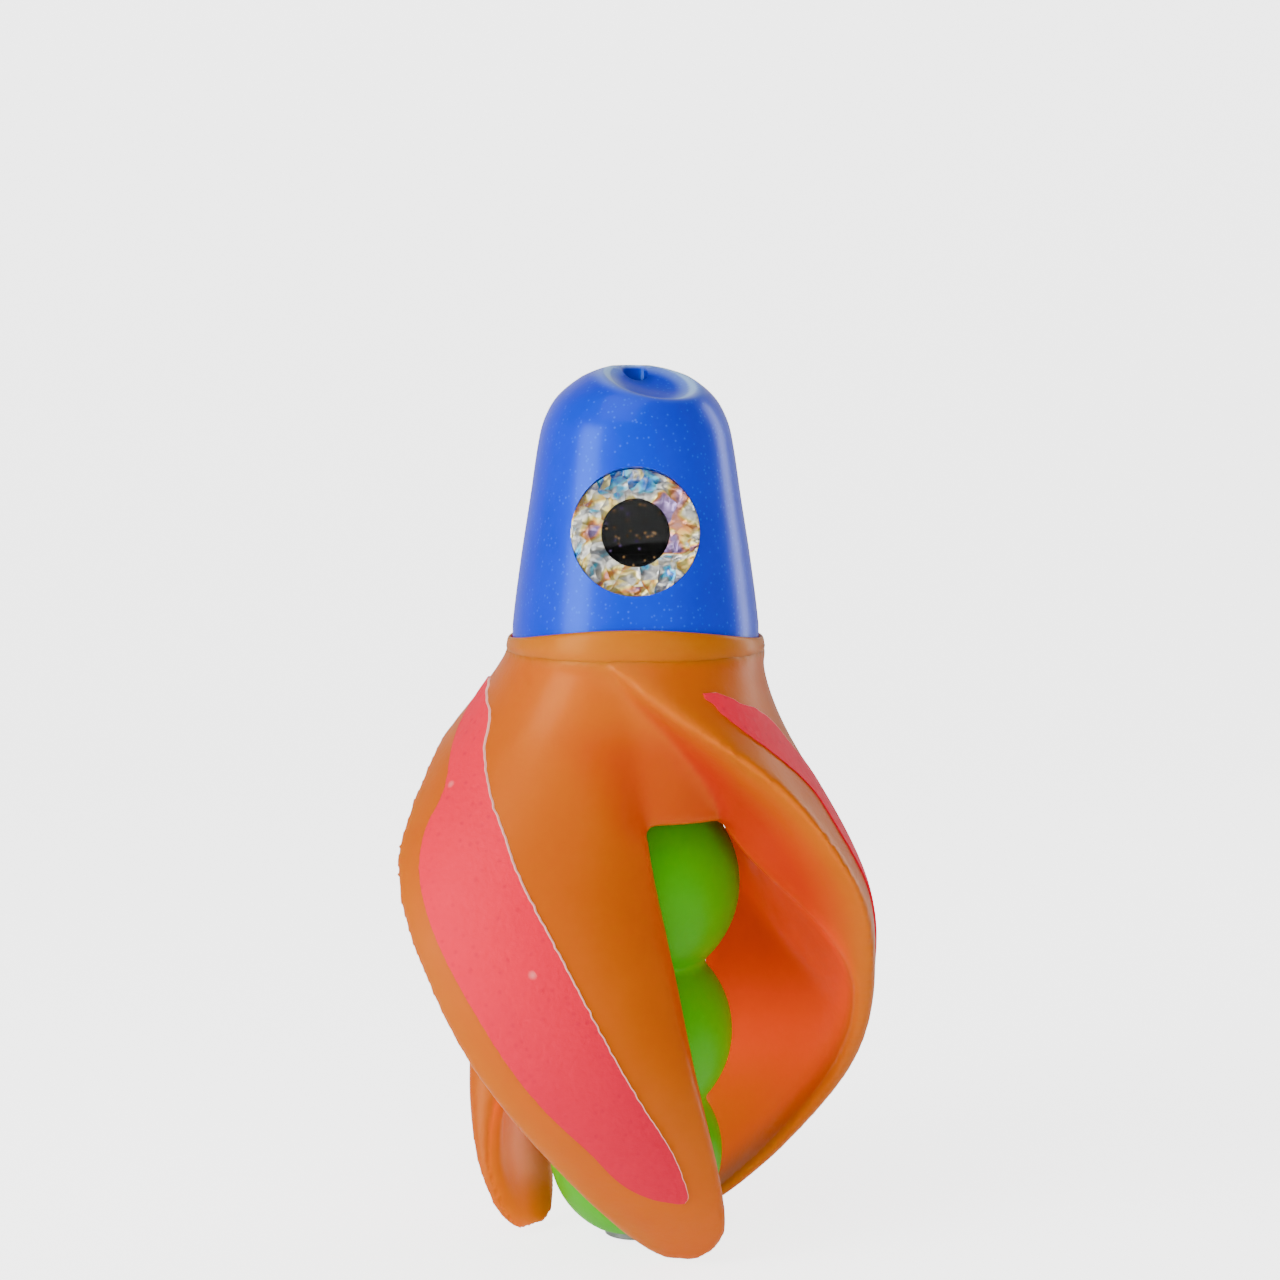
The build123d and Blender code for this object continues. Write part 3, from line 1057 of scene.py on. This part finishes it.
@dataclass
class Skirt:
    """Collar, web and three petals of soft plastic in one moulding."""

    petal: PetalShape
    grain: float = 0.33
    smoothing: int = 6
    filling: int = 70
    lip_wave: float = 1.4
    hub: list = field(default_factory=lambda: [
        (3.2, 46.0), (8.3, 46.0), (8.3, 48.0), (9.9, 48.0), (10.3, 47.9),
        (10.35, 47.5), (10.25, 46.9), (9.95, 46.3), (9.6, 45.6), (9.5, 44.0), (9.5, 35.3),
        (9.3, 34.95), (8.9, 34.8), (8.1, 34.9), (7.9, 35.4), (7.9, 42.0), (3.2, 42.0),
        (3.2, 46.0)])
    lip: list = field(default_factory=lambda: [
        (9.88, 47.7), (9.88, 49.9), (9.93, 50.1), (10.03, 50.2), (10.15, 50.12), (10.24, 49.9),
        (10.3, 49.4), (10.32, 48.5), (10.25, 47.7), (10.1, 47.2), (9.88, 47.0), (9.88, 47.7)])
    edge_glow: float = 5.5
    valley_foot: tuple[float, float] = (35.4, 37.5)
    valley_top: tuple[float, float] = (45.5, 47.0)
    valley_r: tuple[float, float] = (11.0, 14.0)
    cage_top: tuple[float, float] = (45.0, 46.0)
    edge_clear: tuple[float, float] = (1.2, 3.5)
    inner_shade_rise: tuple[float, float] = (3.0, 17.0)
    glow_low: tuple[float, float] = (8.0, 24.0)
    glow_top: tuple[float, float] = (34.0, 40.0)
    web_shade_rise: tuple[float, float] = (12.0, 24.0)
    web_shade_top: tuple[float, float] = (45.0, 48.0)
    lip_highlight_rise: tuple[float, float] = (47.0, 48.8)
    tip_highlight_rise: tuple[float, float] = (4.0, 15.0)

    def __post_init__(self) -> None:
        """Notes where the petals' free edges run, to measure how far a place is from them."""
        top, steps = self.petal.outer_edge[0][0], 160
        self.edges = KDTree(PETALS * steps)
        for index in range(PETALS):
            for k in range(steps):
                self.edges.insert(petal_matrix(index) @ self.petal.point(top * k / steps, 1.0), k)
        self.edges.balance()

    def facing(self, place: Vector, normal: Vector) -> tuple[float, float]:
        """Tells how far a face looks into the cage, and how far out of a web's valley.

        Args:
            place: a point on the skirt, in millimetres.
            normal: the surface's direction there.

        Returns:
            Two shares from 0 to 1.
        """
        out = Vector((place.x, place.y, 0)).normalized()
        inwards = 1 - smoothstep(-0.35, 0.1, normal.dot(out))
        webbed = smoothstep(0.1, 0.65, normal.dot(Vector((out.y, -out.x, 0))))
        return inwards, webbed

    def fill_share(self, place: Vector, normal: Vector) -> float:
        """Tells how strongly a place is eased, in the valleys and inside the cage.

        Args:
            place: a point on the skirt, in millimetres.
            normal: the surface's direction there.

        Returns:
            A share from 0 to 1.
        """
        high = smoothstep(*self.valley_foot, place.z) * (1 - smoothstep(*self.valley_top, place.z))
        reach = place.xy.length - 2.5 * smoothstep(38.0, 44.0, place.z)
        valley = high * (1 - smoothstep(*self.valley_r, reach))
        clear = smoothstep(*self.edge_clear, self.edges.find(place)[2])
        cage = max(self.facing(place, normal)) * clear * (1 - smoothstep(*self.cage_top, place.z))
        return max(valley, cage)

    def inner_shade_mask(self, place: Vector, normal: Vector) -> float:
        """Tells how strong the painted light and shade, a deeper colour, is inside the cage.

        Args:
            place: a point on the skirt, in millimetres.
            normal: the surface's direction there.

        Returns:
            A share from 0 to 1.
        """
        deep = smoothstep(0.3, self.edge_glow, self.edges.find(place)[2])
        return self.facing(place, normal)[0] * deep * smoothstep(*self.inner_shade_rise, place.z)

    def glow_mask(self, place: Vector, normal: Vector) -> float:
        """Tells how much light comes through the soft wall, most of it low in the cage.

        Args:
            place: a point on the skirt, in millimetres.
            normal: the surface's direction there.

        Returns:
            A share from 0 to 1.
        """
        clear = smoothstep(0.3, 4.0, self.edges.find(place)[2])
        low = 1 - 0.55 * smoothstep(*self.glow_low, place.z)
        below = 1 - smoothstep(*self.glow_top, place.z)
        return self.facing(place, normal)[0] * clear * low * below

    def web_shade_mask(self, place: Vector, normal: Vector) -> float:
        """Tells how strong the painted shade, a deeper colour, is in the valleys between the
        petals.

        Args:
            place: a point on the skirt, in millimetres.
            normal: the surface's direction there.

        Returns:
            A share from 0 to 1.
        """
        inwards, webbed = self.facing(place, normal)
        high = smoothstep(*self.web_shade_rise, place.z) * (1 - smoothstep(*self.web_shade_top, place.z))
        deep = smoothstep(0.3, self.edge_glow, self.edges.find(place)[2])
        reach = place.xy.length
        low_web_shade = smoothstep(9.0, 9.6, reach) * (1 - smoothstep(9.8, 12.5, reach))
        low_web_shade *= 0.55 * smoothstep(32.0, 36.0, place.z) * (1 - smoothstep(40.0, 44.0, place.z))
        low_web_shade *= smoothstep(0.5, 0.9, 1 - inwards)
        return max(webbed * deep, low_web_shade) * high

    def lip_highlight_mask(self, place: Vector, normal: Vector) -> float:
        """Tells how strong the painted highlight is, on the collar's lip, along the free edges and
        on the inner faces near the tips.

        Args:
            place: a point on the skirt, in millimetres.
            normal: the surface's direction there.

        Returns:
            A share from 0 to 1.
        """
        edge = 1 - smoothstep(0.2, 2.4, self.edges.find(place)[2])
        tip = self.facing(place, normal)[0] * (1 - smoothstep(*self.tip_highlight_rise, place.z))
        return max(0.8 * smoothstep(*self.lip_highlight_rise, place.z), 0.35 * edge, tip)

    def add_lip(self, piece: bpy.types.Object) -> None:
        """Adds the collar's thin lip, which is higher in front and behind than at the sides.

        Args:
            piece: the skirt, with its modifiers settled.
        """
        mesh = bmesh.new()
        spun(mesh, self.lip, 180)
        for vert in mesh.verts:
            sink = self.lip_wave * (1 - math.cos(2 * math.atan2(vert.co.x, -vert.co.y))) / 2
            vert.co.z -= sink * smoothstep(47.9, 49.5, vert.co.z / MM) * MM
        mesh.from_mesh(piece.data)
        mesh.to_mesh(piece.data)
        mesh.free()
        piece.data.shade_smooth()

    def build(self, finishes: Finishes) -> None:
        """Builds the skirt and puts it in the CAD node's place.

        Args:
            finishes: the materials.
        """
        mesh = bmesh.new()
        rings = self.petal.rings(120)
        for index in range(PETALS):
            turn = petal_matrix(index)
            loft(mesh, [[turn @ point for point in ring] for ring in rings])
        spun(mesh, self.hub, 180)
        piece = make_object("skirt_moulding", mesh, finishes[Finish.SKIRT])
        fused = piece.modifiers.new("fuse", "REMESH")
        fused.mode, fused.voxel_size = "VOXEL", self.grain * MM
        eased = piece.modifiers.new("ease", "SMOOTH")
        eased.factor, eased.iterations = 0.5, self.smoothing
        settled(piece)
        valley = piece.vertex_groups.new(name="valley")
        for vert in piece.data.vertices:
            valley.add([vert.index], self.fill_share(vert.co / MM, vert.normal), "REPLACE")
        filled = piece.modifiers.new("fill", "SMOOTH")
        filled.factor, filled.iterations, filled.vertex_group = 0.5, self.filling, valley.name
        settled(piece)
        self.add_lip(piece)
        # painted light and shade inside the cage
        paint(piece, "inner", self.inner_shade_mask)
        # painted shade in the valleys between the petals
        paint(piece, "web", self.web_shade_mask)
        # painted highlight on the lip, the free edges and the low inner faces
        paint(piece, "lip", self.lip_highlight_mask)
        paint(piece, "glow", self.glow_mask)
        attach(piece, "rotor")
        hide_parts("spiral_skirt")


@dataclass
class TapeStrip:
    """A pointed strip of tape on the outer face of one petal."""

    index: int
    petal: PetalShape
    rows: list = field(default_factory=lambda: [
        (45.4, 0.72, 0.78), (43.2, 0.60, 0.815), (40.7, 0.62, 0.82), (37.6, 0.595, 0.81),
        (34.5, 0.535, 0.86), (28.0, 0.46, 0.87), (21.3, 0.405, 0.84), (14.2, 0.32, 0.785),
        (10.4, 0.255, 0.70), (7.7, 0.24, 0.635), (6.4, 0.25, 0.50), (5.9, 0.29, 0.34)])
    proud: float = 0.16
    sunk: float = 0.25
    cut_width: float = 0.014
    burr: float = 0.006
    levels: int = 260

    def sides(self, height: float) -> tuple[float, float]:
        """Reads where the strip's two cut edges are, with their burrs.

        Args:
            height: the level in millimetres.

        Returns:
            Their shares of the petal's width.
        """
        near, far = curve_at(self.rows, height)
        seed = Vector((self.index * 7.0, 3.0, height * 1.9))
        torn = 3.5 * smoothstep(41.5, 45.4, height)
        near += self.burr * (1 + torn) * noise.noise(seed)
        far += self.burr * 0.5 * (1 + torn) * noise.noise(seed + Vector((0, 9, 0)))
        return near, max(far, near + 0.01)

    def ring(self, height: float) -> list[Vector]:
        """Lists the strip's closed outline at one height.

        Args:
            height: the level in millimetres.

        Returns:
            The points, along its face and back along its underside.
        """
        near, far = self.sides(height)
        width = far - near
        shares = [0, 0.35 * self.cut_width, self.cut_width] + [k / 12 for k in range(1, 13)]
        top = [self.petal.point(height, near + width * share, self.proud) for share in shares]
        under = [self.petal.point(height, near + width * share, -self.sunk)
                 for share in reversed(shares)]
        return top + under

    def build(self, finishes: Finishes) -> None:
        """Builds the strip and puts it in the CAD node's place.

        Args:
            finishes: the materials.
        """
        mesh = bmesh.new()
        top, low = self.rows[0][0], self.rows[-1][0]
        turn = petal_matrix(self.index)
        levels = [mix(top, low, k / self.levels) for k in range(self.levels + 1)]
        loft(mesh, [[turn @ point for point in self.ring(height)] for height in levels])
        piece = make_object(f"tape_{self.index + 1}", mesh, finishes[Finish.TAPE])
        piece.data.set_sharp_from_angle(angle=SHARP)
        count = len(self.ring(levels[0]))
        store(piece, "cut", [float(k % count < 2 or k % count == count - 1)
                             for k in range(len(piece.data.vertices))])
        # painted shade on the strip's lower part
        paint(piece, "low", lambda place, _: 0.6 * (1 - smoothstep(8.0, 30.0, place.z)))
        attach(piece, "rotor")
        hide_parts(f"tape_strip_{self.index + 1}")


# ---------------------------------------------------------------- core and line gear

@dataclass
class BeadedCore:
    """Three fused green beads with soft necks."""

    beads: list = field(default_factory=lambda: [(28.9, 8.36), (16.8, 7.79), (6.85, 7.0)])
    neck_round: float = 1.1
    foot_z: float = 0.75
    recess_r: float = 3.4
    seat_z: float = 1.9
    bore_r: float = 2.4
    stem_r: float = 3.6
    top_z: float = 41.5

    def radius(self, height: float) -> float:
        """Reads the core's radius, with the necks rounded.

        Args:
            height: the level in millimetres.

        Returns:
            The radius in millimetres.
        """
        wide = 0.0
        for centre, ball in self.beads:
            here = math.sqrt(max(ball**2 - (height - centre) ** 2, 0.0))
            wide = -smooth_min(-wide, -here, self.neck_round)
        return max(wide, self.stem_r) if height > self.beads[0][0] else wide

    def build(self, finishes: Finishes) -> None:
        """Builds the core and puts it in the CAD node's place.

        Args:
            finishes: the materials.
        """
        mesh = bmesh.new()
        steps = 150
        outline = [(self.bore_r, self.top_z), (self.stem_r, self.top_z)]
        outline += [(self.radius(z), z) for z in
                    (mix(self.top_z - 0.4, self.foot_z, k / steps) for k in range(steps + 1))]
        outline += [(self.recess_r, self.foot_z), (self.recess_r, self.seat_z),
                    (self.bore_r, self.seat_z)]
        spun(mesh, outline, 128)
        piece = make_object("core_beads", mesh, finishes[Finish.CORE])
        piece.data.set_sharp_from_angle(angle=BORE_SHARP)
        for name in ("inner", "web", "lip"):
            paint(piece, name, lambda place, normal: 0.0)
        paint(piece, "glow", lambda place, normal: 1 - smoothstep(12.0, 26.0, place.z))
        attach(piece, "core")
        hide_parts("bead_core")


class LineGear:
    """The CAD's own tube, washers, ferrule, plug, bush, sleeve and ballast, in real finishes."""

    FINISH = {"head_base": Finish.PEARL, "line_tube": Finish.STEEL, "upper_washer": Finish.STEEL,
              "lower_washer": Finish.STEEL, "tail_washer": Finish.STEEL,
              "tail_ferrule": Finish.STEEL, "ballast_ring": Finish.BRASS,
              "rotor_bush": Finish.ACETAL, "core_sleeve": Finish.ACETAL}

    def build(self, finishes: Finishes, nodes: dict[str, bpy.types.Object]) -> None:
        """Gives each node its finish.

        Args:
            finishes: the materials.
        """
        for name, finish in self.FINISH.items():
            node = nodes[name]
            node.data.materials.clear()
            node.data.materials.append(finishes[finish])
            LOG.info("finished node %s", name)


# ---------------------------------------------------------------- stage

@dataclass
class Stage:
    """Pale sweep, soft studio lights and the camera."""

    target: Vector = field(default_factory=lambda: Vector((0.35, 0.0, 48.4)))
    distance: float = 238.7
    elevation: float = 6.0
    half_view: float = 12.07
    floor_z: float = -0.2
    floor_half: float = 900.0
    bend_y: float = 260.0
    bend_r: float = 160.0
    floor_lift: float = 3.2
    floor_bounce: float = 0.45

    def build_floor(self) -> None:
        """Builds a floor that curves up behind the lure."""
        mesh = bmesh.new()
        outline = [(-self.floor_half, self.floor_z), (self.bend_y, self.floor_z)]
        for degrees in range(6, 91, 6):
            lean = math.radians(degrees)
            outline.append((self.bend_y + self.bend_r * math.sin(lean),
                            self.floor_z + self.bend_r * (1 - math.cos(lean))))
        outline.append((self.bend_y + self.bend_r, self.floor_half))
        verts = [mesh.verts.new((-self.floor_half * MM, y * MM, z * MM)) for y, z in outline]
        edges = [mesh.edges.new(pair) for pair in zip(verts, verts[1:])]
        made = bmesh.ops.extrude_edge_only(mesh, edges=edges)["geom"]
        bmesh.ops.translate(mesh, vec=(2 * self.floor_half * MM, 0, 0),
                            verts=[v for v in made if isinstance(v, bmesh.types.BMVert)])
        material = bpy.data.materials.new("pale_sweep")
        material.use_nodes = True
        tree = Tree(material.node_tree)
        shader = material.node_tree.nodes["Principled BSDF"]
        path = tree.add("LightPath").outputs
        seen = tree.add("Math", {0: path["Is Camera Ray"], 1: self.floor_lift},
                        operation="MULTIPLY").outputs[0]
        lift = tree.add("Math", {0: path["Is Diffuse Ray"], 1: self.floor_bounce, 2: seen},
                        operation="MULTIPLY_ADD").outputs[0]
        tree.give(shader, {"Base Color": srgb(246, 246, 246), "Roughness": 0.9,
                           "Emission Color": (1, 1, 1, 1), "Emission Strength": lift})
        make_object("sweep", mesh, material)

    def add_light(self, name: str, place: Vector, size: tuple[float, float], power: float,
                  mirrored: bool = True) -> None:
        """Adds a soft rectangular light that looks at the lure.

        Args:
            name: the light's name.
            place: where it stands, in millimetres.
            size: its width and height, in millimetres.
            power: in watts.
            mirrored: whether glossy surfaces show it.
        """
        lamp = bpy.data.lights.new(name, "AREA")
        lamp.shape, lamp.energy = "RECTANGLE", power
        lamp.size, lamp.size_y = size[0] * MM, size[1] * MM
        light = bpy.data.objects.new(name, lamp)
        light.location = place * MM
        light.visible_glossy = mirrored
        light.rotation_mode = "QUATERNION"
        light.rotation_quaternion = (self.target - place).to_track_quat("-Z", "Y")
        bpy.context.scene.collection.objects.link(light)

    def build(self) -> None:
        """Builds the floor, the lights and the camera."""
        self.build_floor()
        self.add_light("left_box", Vector((-260, -170, 115)), (150, 240), 1.0)
        self.add_light("right_box", Vector((240, 150, 110)), (80, 240), 0.28)
        self.add_light("top_box", Vector((-60, -110, 300)), (200, 200), 0.3)
        self.add_light("key", Vector((-230, -260, 170)), (240, 240), 0.6, mirrored=False)
        self.add_light("front_fill", Vector((90, -330, 20)), (300, 260), 1.05, mirrored=False)
        world = bpy.data.worlds.new("studio")
        world.use_nodes = True
        sky = world.node_tree.nodes["Background"]
        sky.inputs["Color"].default_value = (1, 1, 1, 1)
        sky.inputs["Strength"].default_value = 0.12
        bpy.context.scene.world = world
        lens = bpy.data.cameras.new("camera")
        lens.sensor_width = 36.0
        lens.lens = 18.0 / math.tan(math.radians(self.half_view))
        lens.clip_start, lens.clip_end = 0.005, 10.0
        camera = bpy.data.objects.new("camera", lens)
        lean = math.radians(self.elevation)
        back = Vector((0, -math.cos(lean), math.sin(lean)))
        camera.location = (self.target + back * self.distance) * MM
        camera.rotation_mode = "QUATERNION"
        camera.rotation_quaternion = (-back).to_track_quat("-Z", "Y")
        bpy.context.scene.collection.objects.link(camera)
        bpy.context.scene.camera = camera


def main() -> None:
    """Builds the lure's looks in order."""
    logging.basicConfig(level=logging.INFO, format="%(message)s")
    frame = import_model()
    finishes = Finishes()
    head = HeadShell()
    head.build(finishes)
    LOG.info("built the head shell")
    for side in Side:
        Eye(side, head).build(finishes)
        LOG.info("built the %s eye", side.name.lower())
    petal = PetalShape()
    Skirt(petal).build(finishes)
    LOG.info("built the skirt")
    for index in range(PETALS):
        TapeStrip(index, petal).build(finishes)
        LOG.info("built tape strip %d", index + 1)
    BeadedCore().build(finishes)
    LOG.info("built the core")
    LineGear().build(finishes, frame["nodes"])
    Stage().build()


if __name__ == "__main__":
    main()
